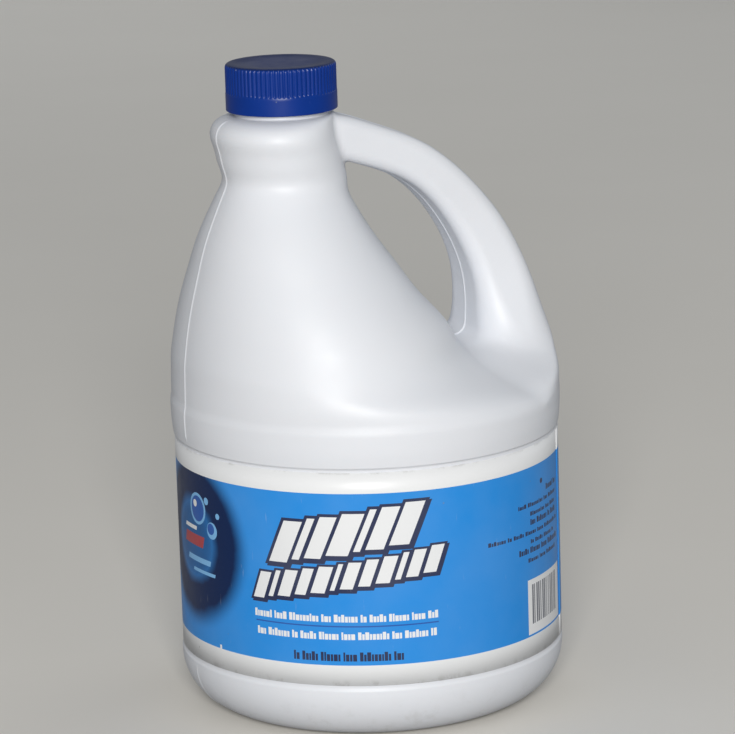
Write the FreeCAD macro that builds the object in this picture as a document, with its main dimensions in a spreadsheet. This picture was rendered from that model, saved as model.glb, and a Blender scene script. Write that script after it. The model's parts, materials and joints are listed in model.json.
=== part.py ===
import FreeCAD, Part
import math
import os

import Sketcher

# A 2.8 litre bleach bottle, in millimetres. The origin is the middle of the base, +Z is up, +X points at the
# handle, and the object is the same on both sides of the XZ plane, in which its mould was parted.

doc = FreeCAD.newDocument("BleachBottle")
sheet = doc.addObject("Spreadsheet::Sheet", "Sizes")

SIZES = {
    # Blown wall, the same all over.
    "wall": 1.0,
    # Label panel, sunk between the foot and the bumper ring.
    "panel_radius": 76.0,
    "panel_height": 87.2,
    # Foot: how far it stands out from the panel, its rounded corner, and the straight band above the corner.
    "foot_proud": 0.5,
    "foot_corner": 21.0,
    "foot_band": 2.2,
    # Ring that the bottle stands on, and the hollow inside it, a flat cone.
    "standing_width": 5.0,
    "hollow_slope": 6.0,
    "hollow_depth": 5.0,
    # Bumper ring, the widest part: its step over the panel, its swell over the step, and where it is widest.
    "bumper_step": 0.6,
    "bumper_swell": 0.8,
    "bumper_rise": 13.2,
    # Shoulder, which leans over to a neck that stands off the middle.
    "neck_offset": 31.5,
    "shoulder_rise": 89.3,
    # Waist under the neck's dome, and the dome, whose flat top is a land round the neck. On the handle's side the
    # dome is slimmer, so that the bottle's back runs straight up past it.
    "waist_radius": 24.3,
    "dome_radius": 28.0,
    "dome_slimming": 9.2,
    "dome_land": 3.6,
    "dome_widest_rise": 17.5,
    "dome_rise": 24.7,
    # Handle: a strap, wider and deeper where it joins the bottle. Its edges are round but for a narrow flat.
    "grip_depth": 16.5,
    "grip_width": 26.0,
    "grip_flat": 1.1,
    "neck_root_depth": 17.5,
    "neck_root_width": 28.0,
    "body_root_depth": 43.0,
    "body_root_width": 116.0,
    # How far the root on the body stays inside the bumper's edge.
    "root_set_in": 0.3,
    # Neck finish, 39 mm across its one screw thread.
    "neck_radius": 18.3,
    "neck_wall": 2.3,
    "neck_height": 17.8,
    "thread_depth": 1.2,
    "thread_root": 2.2,
    "thread_crest": 1.1,
    "thread_pitch": 4.233,
    "thread_turns": 1.25,
    "thread_below_mouth": 2.4,
    # Cap: its room round the neck's thread and over the dome, and fine ribs on its skirt above a plain band.
    "crest_room": 0.45,
    "foot_room": 2.0,
    "cap_wall": 1.65,
    "cap_top_wall": 1.6,
    "cap_edge": 1.5,
    "band_height": 7.1,
    "rib_depth": 0.45,
    "rib_count": 72,
    # Sealing disc in the cap.
    "liner_room": 0.6,
    "liner_thickness": 0.9,
    # Thread inside the cap, its room to the bare neck, and its room under the neck's thread when the cap is tight.
    "cap_thread_crest": 0.8,
    "thread_room": 0.4,
    "flank_room": 0.2,
    # How far each thread's root is sunk into its wall.
    "thread_bite": 0.3,
    # Paper label, wrapped once round the panel with a lap at its ends.
    "label_thickness": 0.2,
    "label_foot_gap": 1.2,
    "label_top_gap": 1.5,
    "label_lap": 9.0,
}

for row, (alias, value) in enumerate(SIZES.items(), start=1):
    sheet.set(f"A{row}", alias)
    sheet.set(f"B{row}", str(value))
    sheet.setAlias(f"B{row}", alias)
doc.recompute()


class Size:
    """A length worked out from the sheet: its expression, and its value now."""

    def __init__(self, text, value):
        self.text = text
        self.value = value

    def __add__(self, other):
        other = as_size(other)
        return Size(f"({self.text} + {other.text})", self.value + other.value)

    def __sub__(self, other):
        other = as_size(other)
        return Size(f"({self.text} - {other.text})", self.value - other.value)

    def __mul__(self, factor):
        factor = as_size(factor)
        return Size(f"({self.text} * {factor.text})", self.value * factor.value)

    def __truediv__(self, other):
        other = as_size(other)
        return Size(f"({self.text} / {other.text})", self.value / other.value)

    def __neg__(self):
        return self * -1


def as_size(number):
    return number if isinstance(number, Size) else Size(f"({number})", number)


def cell(alias):
    return Size(f"Sizes.{alias}", float(sheet.get(alias)))


def blend(start, end, share):
    """The length that lies a share of the way from one length to another."""
    return start + (end - start) * share


def bind(thing, path, length):
    thing.setExpression(path, as_size(length).text)


# Places that several pieces share.
none = Size("0", 0.0)
wall = cell("wall")
neck_x = -cell("neck_offset")
panel_foot = cell("foot_corner") + cell("foot_band")
panel_top = panel_foot + cell("panel_height")
step_radius = cell("panel_radius") + cell("bumper_step")
bumper_radius = step_radius + cell("bumper_swell")
bumper_top = panel_top + cell("bumper_rise")
waist = bumper_top + cell("shoulder_rise")
dome_widest = waist + cell("dome_widest_rise")
dome_top = waist + cell("dome_rise")
mouth = dome_top + cell("neck_height")
dome_top_radius = cell("neck_radius") + cell("dome_land")
cap_foot = dome_top + cell("foot_room")
cap_height = mouth + cell("liner_thickness") + cell("cap_top_wall") - cap_foot
cap_bore = cell("neck_radius") + cell("thread_depth") + cell("crest_room")
thread_rise = cell("thread_pitch") * cell("thread_turns")
thread_foot = mouth - cell("thread_below_mouth") - thread_rise
flank_slope = (cell("thread_root") - cell("thread_crest")) / (cell("thread_depth") * 2)


def add(kind, name, **sizes):
    """Adds an object whose properties are bound to the sheet."""
    thing = doc.addObject(kind, name)
    for path, length in sizes.items():
        bind(thing, path, length)
    return thing


def place(thing, x, z):
    bind(thing, "Placement.Base.x", x)
    bind(thing, "Placement.Base.z", z)
    return thing


def plane_of(body, role):
    return next(feature for feature in body.Origin.OriginFeatures if feature.Role == role)


def sketch_in(body, name, role):
    sketch = body.newObject("Sketcher::SketchObject", name)
    sketch.AttachmentSupport = [(plane_of(body, role), "")]
    sketch.MapMode = "FlatFace"
    return sketch


def dimension(sketch, kind, *where, length):
    """Adds a dimension that is bound to the sheet."""
    index = sketch.addConstraint(Sketcher.Constraint(kind, *where, abs(length.value)))
    bind(sketch, f"Constraints[{index}]", length)


def outline(sketch, corners):
    """Draws a closed outline of straight lines, each corner held at its two lengths from the origin."""
    points = [FreeCAD.Vector(x.value, z.value, 0) for x, z in corners]
    for start, end in zip(points, points[1:] + points[:1]):
        sketch.addGeometry(Part.LineSegment(start, end), False)
    for line, (x, z) in enumerate(corners):
        sketch.addConstraint(Sketcher.Constraint("Coincident", line - 1 if line else len(corners) - 1, 2, line, 1))
        for kind, axis, length in (("DistanceX", -2, x), ("DistanceY", -1, z)):
            if length is none:
                sketch.addConstraint(Sketcher.Constraint("PointOnObject", line, 1, axis))
            else:
                dimension(sketch, kind, -1, 1, line, 1, length=length)


def revolve(body, name, corners):
    """Turns an outline of (radius, height) corners about the body's Z axis."""
    sketch = sketch_in(body, f"{name}_outline", "XZ_Plane")
    outline(sketch, corners)
    turned = body.newObject("PartDesign::Revolution", name)
    turned.Profile = sketch
    turned.ReferenceAxis = (sketch, ["V_Axis"])
    turned.Angle = 360
    sketch.Visibility = False
    doc.recompute()
    return turned


def round_edge(body, name, base, radius, z, corner):
    """Rounds the circular edge of the given radius and height."""
    for number, edge in enumerate(base.Shape.Edges, start=1):
        circle = isinstance(edge.Curve, Part.Circle)
        if circle and abs(edge.Curve.Radius - radius.value) < 0.01 and abs(edge.Curve.Center.z - z.value) < 0.01:
            rounded = body.newObject("PartDesign::Fillet", name)
            rounded.Base = (base, [f"Edge{number}"])
            bind(rounded, "Radius", corner)
            doc.recompute()
            return rounded
    raise ValueError(f"{name}: no such edge")


# Shares of the way up the shoulder. With each go the shares of the way from the bumper's radius to the waist's and
# from the middle to the neck that are reached there, and how much wider than long the section is: the front of the
# shoulder runs up steeply, its back slopes, and it is fullest across the bottle.
SHOULDER = (
    # rise, narrowing, lean, fullness
    (0.03, 0.035, 0.055, 1.015),
    (0.08, 0.14, 0.23, 1.07),
    (0.15, 0.32, 0.52, 1.15),
    (0.30, 0.455, 0.70, 1.17),
    (0.45, 0.60, 0.865, 1.22),
    (0.60, 0.725, 0.965, 1.21),
    (0.74, 0.84, 1.04, 1.19),
    (0.86, 0.93, 1.05, 1.13),
    (0.94, 0.98, 1.03, 1.05),
)

# Swelling of the bumper ring, as shares of its rise and of the step in radius.
BUMPER = ((0.4, 0.72), (1, 1))

# Rounding of the dome above its widest ring, as shares of that rise, of the step in radius, and of the slimming on
# the handle's side, of which little is left under the neck.
DOME = ((0.35, 0.10, 0.95), (0.70, 0.42, 0.72), (1, 1, 0.2))


def shoulder_rings(inset):
    """The rings of bumper, shoulder, waist and dome: offset, height, length radius and width radius."""
    rings = [(none, panel_top + inset, step_radius, step_radius)]
    for rise, swelling in BUMPER:
        radius = blend(step_radius, bumper_radius, swelling)
        rings.append((none, blend(panel_top, bumper_top, rise), radius, radius))
    for rise, narrowing, lean, fullness in SHOULDER:
        radius = blend(bumper_radius, cell("waist_radius"), narrowing)
        rings.append((neck_x * lean, blend(bumper_top, waist, rise), radius, radius * fullness))
    slimming = cell("dome_slimming") / 2
    for rise in (0, 0.35, 0.70, 1):
        radius = blend(cell("waist_radius"), cell("dome_radius"), rise)
        rings.append((neck_x - slimming * rise, blend(waist, dome_widest, rise), radius - slimming * rise, radius))
    for rise, narrowing, slimness in DOME:
        radius = blend(cell("dome_radius"), dome_top_radius, narrowing)
        height = blend(dome_widest, dome_top, rise) - inset * rise
        rings.append((neck_x - slimming * slimness, height, radius - slimming * slimness, radius))
    return [(x, z, along - inset, across - inset) for x, z, along, across in rings]


def shoulder(name, inset):
    """Straight walls between level rings, each one round or longer across the bottle than along it."""
    rings = []
    for number, (x, z, along, across) in enumerate(shoulder_rings(inset), start=1):
        ring = add("Part::Ellipse", f"{name}_ring_{number}", MajorRadius=across, MinorRadius=along)
        ring.Placement = FreeCAD.Placement(FreeCAD.Vector(), FreeCAD.Rotation(90, 0, 0))
        rings.append(place(ring, x, z))
    loft = doc.addObject("Part::Loft", name)
    loft.Sections = rings
    loft.Solid = True
    loft.Ruled = True
    return loft


def barrel(name, inset):
    """Foot and label panel, with the flat cone under the base."""
    body = doc.addObject("PartDesign::Body", name)
    foot = cell("panel_radius") + cell("foot_proud") - inset
    rim = foot - (cell("foot_corner") - inset) - cell("standing_width")
    # It ends inside the bumper ring.
    top = blend(panel_top, bumper_top, BUMPER[0][0])
    turned = revolve(body, f"{name}_turned", [
        (none, cell("hollow_depth") + inset),
        (rim - cell("hollow_slope") + inset, cell("hollow_depth") + inset),
        (rim + inset, inset),
        (foot, inset),
        (foot, panel_foot - cell("foot_proud")),
        (cell("panel_radius") - inset, panel_foot),
        (cell("panel_radius") - inset, top),
        (none, top),
    ])
    round_edge(body, f"{name}_corner", turned, foot, inset, cell("foot_corner") - inset)
    return body


# The handle's stations: how far out and up the middle of its back lies, as shares of the way from the neck to the
# bumper's rim and from there up to the dome's top, the slope of the strap in degrees, and how much of the extra depth
# and width of the neck's root and of the body's root the section has there.
HANDLE = (
    # out, up, slope, neck depth, neck width, body depth, body width
    (0.060, 0.975, -8, 1.0, 1.0, 0.0, 0.0),
    (0.175, 0.990, -14, 0.9, 0.75, 0.0, 0.0),
    (0.262, 0.968, -21, 0.6, 0.25, 0.0, 0.0),
    (0.360, 0.932, -23, 0.15, 0.03, 0.0, 0.0),
    (0.515, 0.865, -30, 0.0, 0.0, 0.0, 0.0),
    (0.630, 0.784, -40, 0.0, 0.0, 0.02, 0.0),
    (0.743, 0.676, -50, 0.0, 0.0, 0.09, 0.0),
    (0.832, 0.560, -60, 0.0, 0.0, 0.17, 0.0),
    (0.908, 0.408, -68, 0.0, 0.0, 0.28, 0.03),
    (0.961, 0.257, -76, 0.0, 0.0, 0.46, 0.12),
    (0.990, 0.135, -82, 0.0, 0.0, 0.65, 0.40),
    (1.000, 0.050, -86, 0.0, 0.0, 0.86, 0.88),
    (1.000, -0.035, -90, 0.0, 0.0, 1.0, 1.0),
)


def handle_section(name, slope, depth, width, corner):
    """A rectangle with rounded corners: its X runs across the strap, and its Y out of the strap's back."""
    sketch = doc.addObject("Sketcher::SketchObject", name)
    half, deep, bend = width.value / 2, -depth.value, corner.value
    flats = (
        ((-half + bend, 0), (half - bend, 0)),
        ((half, -bend), (half, deep + bend)),
        ((half - bend, deep), (-half + bend, deep)),
        ((-half, deep + bend), (-half, -bend)),
    )
    bends = (
        ((half - bend, -bend), 0),
        ((half - bend, deep + bend), 270),
        ((-half + bend, deep + bend), 180),
        ((-half + bend, -bend), 90),
    )
    for (start, end), (middle, turn) in zip(flats, bends):
        sketch.addGeometry(Part.LineSegment(FreeCAD.Vector(*start), FreeCAD.Vector(*end)), False)
        circle = Part.Circle(FreeCAD.Vector(*middle), FreeCAD.Vector(0, 0, 1), bend)
        sketch.addGeometry(Part.ArcOfCircle(circle, math.radians(turn), math.radians(turn + 90)), False)
    # Line 0 is the back, line 4 the inner face, lines 2 and 6 the sides, and the odd numbers are the corners between.
    for line, arc in ((0, 1), (2, 3), (4, 5), (6, 7)):
        sketch.addConstraint(Sketcher.Constraint("Tangent", line, 2, arc, 2))
        sketch.addConstraint(Sketcher.Constraint("Tangent", arc, 1, (line + 2) % 8, 1))
    sketch.addConstraint(Sketcher.Constraint("Symmetric", 0, 1, 0, 2, -2))
    sketch.addConstraint(Sketcher.Constraint("PointOnObject", 0, 1, -1))
    sketch.addConstraint(Sketcher.Constraint("Vertical", 2))
    sketch.addConstraint(Sketcher.Constraint("Vertical", 6))
    sketch.addConstraint(Sketcher.Constraint("Horizontal", 4))
    for arc in (3, 5, 7):
        sketch.addConstraint(Sketcher.Constraint("Equal", 1, arc))
    dimension(sketch, "Radius", 1, length=corner)
    dimension(sketch, "DistanceX", 6, 2, 2, 1, length=width)
    dimension(sketch, "DistanceY", 4, 1, 0, 2, length=depth)
    turn = FreeCAD.Rotation(FreeCAD.Vector(0, 1, 0), -slope)
    lie = FreeCAD.Rotation(FreeCAD.Vector(1, 1, 1), 120)
    sketch.Placement = FreeCAD.Placement(FreeCAD.Vector(), turn * lie)
    return sketch


def handle(name, inset):
    """The strap, trimmed where its lower root would pass the bumper ring."""
    sections = []
    corner = (cell("grip_depth") - cell("grip_flat")) / 2 - inset
    for number, (out, up, slope, neck_depth, neck_width, body_depth, body_width) in enumerate(HANDLE, start=1):
        depth = (
            cell("grip_depth")
            + (cell("neck_root_depth") - cell("grip_depth")) * neck_depth
            + (cell("body_root_depth") - cell("grip_depth")) * body_depth
        )
        width = (
            cell("grip_width")
            + (cell("neck_root_width") - cell("grip_width")) * neck_width
            + (cell("body_root_width") - cell("grip_width")) * body_width
        )
        section = handle_section(
            f"{name}_section_{number}", slope, depth - inset * 2, width - inset * 2, corner
        )
        tilt = math.radians(slope)
        x = blend(neck_x, bumper_radius, out) + inset * math.sin(tilt)
        z = blend(bumper_top, dome_top, up) - inset * math.cos(tilt)
        sections.append(place(section, x, z))
    loft = doc.addObject("Part::Loft", f"{name}_strap")
    loft.Sections = sections
    loft.Solid = True
    inside = bumper_radius - cell("root_set_in") - inset
    reach = add("Part::Cylinder", f"{name}_reach", Radius=inside, Height=dome_top)
    trimmed = doc.addObject("Part::Common", name)
    trimmed.Base = loft
    trimmed.Tool = reach
    return trimmed


def thread(name, profile, foot):
    """A screw thread: a trapezium of (radius, height) corners swept up a helix about the body's Z axis."""
    body = doc.addObject("PartDesign::Body", name)
    sketch = sketch_in(body, f"{name}_profile", "XZ_Plane")
    outline(sketch, profile)
    helix = body.newObject("PartDesign::AdditiveHelix", f"{name}_helix")
    helix.Profile = sketch
    helix.ReferenceAxis = (sketch, ["V_Axis"])
    helix.Mode = "pitch-height-angle"
    bind(helix, "Pitch", cell("thread_pitch"))
    bind(helix, "Height", thread_rise)
    sketch.Visibility = False
    return place(body, neck_x, foot)


def neck_thread():
    crest = cell("thread_crest") / 2
    # The flanks go on at their slope into the neck's wall.
    root = cell("thread_root") / 2 + flank_slope * cell("thread_bite")
    inside = cell("neck_radius") - cell("thread_bite")
    outside = cell("neck_radius") + cell("thread_depth")
    return thread("neck_thread", [(inside, -root), (outside, -crest), (outside, crest), (inside, root)], thread_foot)


def cap_thread():
    crest = cell("cap_thread_crest") / 2
    inside = cell("neck_radius") + cell("thread_room")
    outside = cap_bore + cell("thread_bite")
    root = crest + flank_slope * (outside - inside)
    # Tight, it hangs under the neck's thread with the flanks' room between them.
    drop = cell("thread_root") / 2 - flank_slope * cell("thread_room") + crest + cell("flank_room")
    corners = [(inside, -crest), (outside, -root), (outside, root), (inside, crest)]
    return thread("cap_thread", corners, thread_foot - drop)


def bottle():
    """One blown piece: round body, offset shoulder, hollow handle and threaded neck, open at the mouth."""
    finish = add("Part::Cylinder", "finish", Radius=cell("neck_radius"), Height=mouth - waist)
    place(finish, neck_x, waist)
    outside = doc.addObject("Part::MultiFuse", "bottle_outside")
    outside.Shapes = [barrel("barrel", none), shoulder("shoulder", none), handle("handle", none), finish, neck_thread()]
    mouth_radius = cell("neck_radius") - cell("neck_wall")
    bore = add("Part::Cylinder", "mouth_bore", Radius=mouth_radius, Height=mouth - waist)
    place(bore, neck_x, waist)
    inside = doc.addObject("Part::MultiFuse", "bottle_inside")
    inside.Shapes = [barrel("barrel_core", wall), shoulder("shoulder_core", wall), handle("handle_core", wall), bore]
    hollow = doc.addObject("Part::Cut", "bottle")
    hollow.Base = outside
    hollow.Tool = inside
    return hollow


def ribbed_cup():
    """The cap's cup, modelled from its foot up: rounded at the top, and ribbed above a plain band."""
    body = doc.addObject("PartDesign::Body", "ribbed_cup")
    outer = cap_bore + cell("cap_wall")
    ceiling = cap_height - cell("cap_top_wall")
    turned = revolve(body, "cup_turned", [
        (cap_bore, none),
        (outer, none),
        (outer, cap_height),
        (none, cap_height),
        (none, ceiling),
        (cap_bore, ceiling),
    ])
    round_edge(body, "cup_rounded", turned, outer, cap_height, cell("cap_edge"))
    groove = sketch_in(body, "rib_groove", "XY_Plane")
    bind(groove, "AttachmentOffset.Base.z", cell("band_height"))
    # A V groove: its point is one rib depth inside the skirt, and it is 1.2 half pitches wide at the skirt.
    half = outer * (1.2 * math.pi) / cell("rib_count")
    outline(groove, [
        (outer - cell("rib_depth"), none),
        (outer + cell("rib_depth"), half),
        (outer + cell("rib_depth"), -half),
    ])
    pocket = body.newObject("PartDesign::Pocket", "rib_pocket")
    pocket.Profile = groove
    pocket.Reversed = True
    bind(pocket, "Length", cap_height - cell("band_height"))
    groove.Visibility = False
    doc.recompute()
    ribs = body.newObject("PartDesign::PolarPattern", "ribs")
    ribs.Originals = [pocket]
    ribs.Axis = (plane_of(body, "Z_Axis"), [""])
    ribs.Angle = 360
    bind(ribs, "Occurrences", cell("rib_count"))
    body.Tip = ribs
    return place(body, neck_x, cap_foot)


def cap():
    """Screw cap: the ribbed cup with one thread inside."""
    joined = doc.addObject("Part::Fuse", "cap")
    joined.Base = ribbed_cup()
    joined.Tool = cap_thread()
    return joined


def liner():
    """Foam disc between the cap's top and the bottle's mouth."""
    radius = cap_bore - cell("liner_room")
    return place(add("Part::Cylinder", "liner", Radius=radius, Height=cell("liner_thickness")), neck_x, mouth)


# The label's lap starts this many degrees round from +X.
LABEL_SEAM = -35


def label():
    """Paper wrapped once round the panel. At the lap a second layer lies on the first."""
    foot = panel_foot + cell("label_foot_gap")
    height = cell("panel_height") - cell("label_foot_gap") - cell("label_top_gap")
    layer = cell("label_thickness")
    wrap = add("Part::Cylinder", "label_wrap", Radius=cell("panel_radius") + layer, Height=height)
    lap_angle = cell("label_lap") / cell("panel_radius") * (180 / math.pi)
    lap = add("Part::Cylinder", "label_lap_layer", Radius=cell("panel_radius") + layer * 2, Height=height)
    bind(lap, "Angle", lap_angle)
    lap.Placement = FreeCAD.Placement(FreeCAD.Vector(), FreeCAD.Rotation(LABEL_SEAM, 0, 0))
    paper = doc.addObject("Part::Fuse", "label_paper")
    paper.Base = place(wrap, none, foot)
    paper.Tool = place(lap, none, foot)
    glued = add("Part::Cylinder", "label_bore", Radius=cell("panel_radius"), Height=height)
    tube = doc.addObject("Part::Cut", "label")
    tube.Base = paper
    tube.Tool = place(glued, none, foot)
    return tube


def write(pieces):
    """Checks every object of the document, then writes each piece to a file of its own."""
    doc.recompute()
    for thing in doc.Objects:
        if "Invalid" in thing.State or "Error" in thing.State:
            raise RuntimeError(f"{thing.Label} failed: {thing.State}")
    for piece in pieces:
        if piece.Shape.isNull() or not piece.Shape.isValid() or len(piece.Shape.Solids) != 1:
            raise RuntimeError(f"{piece.Label} is no single valid solid")
    os.makedirs("parts", exist_ok=True)
    for piece in pieces:
        piece.Shape.exportStep(f"parts/{piece.Label}.step")
        print(piece.Label, round(piece.Shape.Volume), "mm3")
    content = doc.getObject("bottle_inside").Shape.Volume
    print("content to the brim", round(content / 1e6, 3), "litres")


write([bottle(), cap(), liner(), label()])
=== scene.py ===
import json
import math

import bmesh
import bpy
import numpy as np
from mathutils import Matrix, Vector
from mathutils.geometry import delaunay_2d_cdt

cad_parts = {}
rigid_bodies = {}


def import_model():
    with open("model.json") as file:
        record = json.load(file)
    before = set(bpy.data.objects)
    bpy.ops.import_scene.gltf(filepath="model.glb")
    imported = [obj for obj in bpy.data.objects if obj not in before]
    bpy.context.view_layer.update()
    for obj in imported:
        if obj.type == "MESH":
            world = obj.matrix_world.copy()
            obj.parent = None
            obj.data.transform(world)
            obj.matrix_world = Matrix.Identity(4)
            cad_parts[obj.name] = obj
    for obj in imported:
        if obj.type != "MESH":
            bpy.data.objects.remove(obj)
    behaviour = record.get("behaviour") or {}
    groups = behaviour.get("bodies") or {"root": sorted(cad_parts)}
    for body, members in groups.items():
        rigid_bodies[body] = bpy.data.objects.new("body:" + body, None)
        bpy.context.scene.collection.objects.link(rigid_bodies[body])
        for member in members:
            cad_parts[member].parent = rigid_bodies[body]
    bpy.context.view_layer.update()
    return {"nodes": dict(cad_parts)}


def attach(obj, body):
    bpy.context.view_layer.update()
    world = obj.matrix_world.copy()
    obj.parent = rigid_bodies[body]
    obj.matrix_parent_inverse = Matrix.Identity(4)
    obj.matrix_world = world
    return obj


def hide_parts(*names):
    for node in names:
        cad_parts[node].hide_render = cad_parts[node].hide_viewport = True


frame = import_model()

# Lengths are in millimetres up to the moment they go into a mesh, a lamp or the camera.
MM = 0.001

# Heights of the bottle, from the base up.
PANEL_FOOT = 23.2
PANEL_TOP = 110.4
BUMPER_TOP = 123.6
WAIST = 212.9
DOME_WIDEST = 230.4
DOME_TOP = 237.6
MOUTH = 255.4

# Radii of the barrel, the neck and its bore, and the neck's place off the middle.
PANEL_RADIUS = 76.0
FOOT_PROUD = 0.5
FOOT_CORNER = 21.0
BUMPER_RADIUS = 77.4
NECK_X = -31.5
NECK_RADIUS = 18.3
BORE_RADIUS = 16.0
WALL = 1.0

# The round standing rim and the flat cone inside it.
RIM_RADIUS = 50.5
HOLLOW_RADIUS = 44.5
HOLLOW_DEPTH = 5.0

# Screw thread. The neck's and the cap's own numbers are where it starts, half its width at the root,
# half its width at the crest, and its depth.
THREAD_PITCH = 4.233
THREAD_TURNS = 1.25
NECK_THREAD = (247.71, 1.1, 0.55, 1.2)
CAP_THREAD = (246.19, 0.75, 0.4, 1.25)

# Cap.
CAP_FOOT = 239.6
CAP_TOP = 257.9
CAP_RADIUS = 21.6
CAP_BORE = 19.95
CAP_CEILING = 256.3
BAND_TOP = 246.7
BAND_PROUD = 0.12
CAP_EDGE = 1.5
RIB_COUNT = 72
RIB_DEPTH = 0.45
# Half a groove's width as a share of the ribs' pitch.
GROOVE_HALF = 0.34

# Sections of the body from the panel's top to the dome's top.
# Each row is a height, the section's middle along X, and its radii along the bottle and across it.
BODY = np.array([
    (PANEL_TOP, 0.0, 76.60, 76.60),
    (115.7, 0.0, 77.18, 77.18),
    (120.5, 0.0, 77.40, 77.40),
    (BUMPER_TOP, -0.4, 77.00, 77.30),
    (126.3, -1.8, 75.55, 76.70),
    (130.7, -7.2, 69.97, 74.90),
    (137.0, -16.4, 60.41, 69.47),
    (150.4, -22.05, 53.24, 62.29),
    (163.8, -26.35, 46.44, 55.56),
    (177.2, -29.40, 39.90, 47.07),
    (189.7, -31.86, 33.70, 39.03),
    (200.4, -32.68, 28.42, 31.66),
    (207.5, -32.45, 25.36, 26.63),
    (WAIST, -31.5, 24.30, 24.30),
    (219.0, -33.1, 24.00, 25.60),
    (225.2, -34.7, 23.70, 26.89),
    (DOME_WIDEST, -36.1, 23.40, 28.00),
    (233.0, -35.9, 23.00, 27.39),
    (235.5, -34.8, 22.10, 25.44),
    (DOME_TOP, -32.4, 21.00, 21.90),
])

# Stations along the handle's back, in the XZ plane.
# Each row is x, z, the back's slope in degrees, the strap's depth there and its half width.
HANDLE = np.array([
    (-24.97, 234.75, -8, 17.5, 14.0),
    (-12.44, 236.46, -14, 17.4, 13.8),
    (-2.97, 233.95, -21, 17.1, 13.3),
    (7.70, 229.85, -23, 16.6, 13.0),
    (24.58, 222.21, -30, 16.5, 13.0),
    (37.11, 212.98, -40, 17.0, 13.0),
    (49.41, 200.66, -50, 18.9, 13.0),
    (59.11, 187.44, -60, 21.0, 14.0),
    (67.38, 170.11, -68, 23.9, 16.5),
    (73.15, 152.90, -76, 28.7, 22.5),
    (76.31, 138.99, -82, 33.7, 34.0),
    (77.40, 129.30, -86, 39.3, 48.0),
    (77.40, 119.61, -90, 43.0, 60.0),
])

# The strap's edges are rounded by this share of its half depth at the grip, and by so much more at its foot.
# The grip ends at the first half depth, and the foot starts at the second.
GRIP_ROUNDING = 0.58
FOOT_MORE_ROUNDING = 0.40
GRIP_HALF_DEPTH = 11.5
FOOT_HALF_DEPTH = 16

# The strap lies beyond this X and above this height, and within this distance of the XZ plane.
STRAP_FROM_X = -34
STRAP_FROM_Z = 92
STRAP_HALF_REACH = 66

# How far inside the panel's radius the strap's foot stays, and how far it comes out above the panel.
STRAP_INSET = 0.8
STRAP_GROWTH = 2.6

# The line that the mould's halves leave round the bottle: how proud it is, and how far it takes to fade.
RIDGE_HEIGHT = 0.34
RIDGE_SPREAD = 0.5


def spline(knots, values):
    """The smooth curve through the values at the knots: cubics whose slope and bend agree where they meet.

    The bends come from one row of equations for each inner knot. The bend is nought at both ends.
    """
    knots, values = np.asarray(knots, float), np.asarray(values, float)
    step = np.diff(knots)
    last = len(knots) - 1
    system = np.eye(last + 1)
    inner = np.arange(1, last)
    system[inner, inner - 1] = step[:-1]
    system[inner, inner] = 2 * (step[:-1] + step[1:])
    system[inner, inner + 1] = step[1:]
    jumps = np.zeros(last + 1)
    jumps[1:-1] = 6 * np.diff(np.diff(values) / step)
    bend = np.linalg.solve(system, jumps)

    def at(places):
        places = np.clip(places, knots[0], knots[-1])
        piece = np.clip(np.searchsorted(knots, places) - 1, 0, last - 1)
        width = step[piece]
        left = (knots[piece + 1] - places) / width
        right = 1 - left
        curved = (left**3 - left) * bend[piece] + (right**3 - right) * bend[piece + 1]
        value = left * values[piece] + right * values[piece + 1] + curved * width**2 / 6
        slope = (values[piece + 1] - values[piece]) / width
        slope = slope + ((3 * right**2 - 1) * bend[piece + 1] - (3 * left**2 - 1) * bend[piece]) * width / 6
        return value, slope

    return at


def ease(low, high, value):
    """0 below low, 1 above high, and an S curve between."""
    share = np.clip((value - low) / (high - low), 0, 1)
    return share * share * (3 - 2 * share)


def blend_out(first, second, reach):
    """The lesser of two fields, less up to a quarter of reach where they are alike, which makes a fillet."""
    share = np.clip(0.5 + 0.5 * (second - first) / reach, 0, 1)
    return second + (first - second) * share - reach * share * (1 - share)


def blend_in(first, second, reach):
    """The greater of two fields, with a rounded edge where they cross."""
    return -blend_out(-first, -second, reach)


def rounded_corner(first, second, radius):
    """Distance beyond two faces whose shared edge is rounded.

    It is measured by Pythagoras from the middle of the round, and the radius is taken off.
    """
    one, two = first + radius, second + radius
    return np.hypot(np.maximum(one, 0), np.maximum(two, 0)) + np.minimum(np.maximum(one, two), 0) - radius


body_middle = spline(BODY[:, 0], BODY[:, 1])
body_along = spline(BODY[:, 0], BODY[:, 2])
body_across = spline(BODY[:, 0], BODY[:, 3])


def barrel_radius(z):
    """Radius of foot and panel at a height: the foot stands out, with a soft step."""
    share = ease(PANEL_FOOT - 1.2, PANEL_FOOT + 0.2, z)
    return PANEL_RADIUS + FOOT_PROUD * (1 - share)


def body_field(x, y, z):
    """Distance to the round body: how far outside its oval section a point is, over that measure's slope."""
    upper = ease(PANEL_TOP - 0.5, PANEL_TOP + 0.4, z)
    low = barrel_radius(z)
    along, along_slope = body_along(z)
    across, across_slope = body_across(z)
    middle, middle_slope = body_middle(z)
    along = low + (along - low) * upper
    across = low + (across - low) * upper
    dx = x - middle
    reach = np.maximum(np.hypot(dx / along, y / across), 0.2)
    slope_x = dx / (along**2 * reach)
    slope_y = y / (across**2 * reach)
    slope_z = -upper * (dx * middle_slope / along**2 + dx**2 * along_slope / along**3
                        + y**2 * across_slope / across**3) / reach
    side = (reach - 1) / np.sqrt(slope_x**2 + slope_y**2 + slope_z**2)
    return np.where(z < FOOT_CORNER + 30, rounded_corner(side, -z, FOOT_CORNER), side)


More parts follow.
